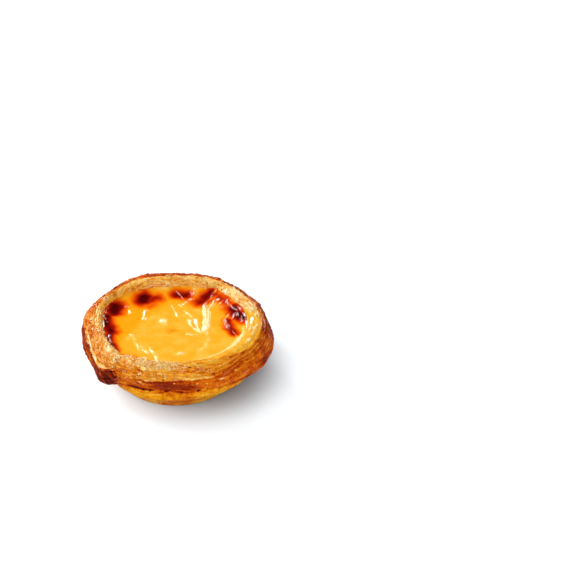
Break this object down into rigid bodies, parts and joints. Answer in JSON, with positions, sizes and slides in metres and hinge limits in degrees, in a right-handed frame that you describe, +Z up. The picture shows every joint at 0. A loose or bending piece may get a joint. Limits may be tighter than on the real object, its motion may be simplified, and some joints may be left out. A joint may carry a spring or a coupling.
{
  "type": "portuguese custard tart",
  "caption": "Small round custard tart: a cup of coiled puff pastry with a thick layered rim and a free tail, filled to just below the rim with baked custard. Stands on its flat foot.",
  "frame": {"origin": "centre of the round flat foot that the tart stands on", "axes": "+Z up out of the custard, +X to the tart's right along the rim's longer diameter, -Y towards its front, with the pastry's free tail at the front left"},
  "size_m": [0.0836, 0.076, 0.027],
  "materials": {
    "pastry": "baked puff pastry, golden on the cup, browned and flaky on the rim",
    "custard": "glossy baked egg custard with scorched spots"
  },
  "bodies": {
    "root": {"pastry_shell": "pastry", "custard_filling": "custard"}
  },
  "joints": []
}
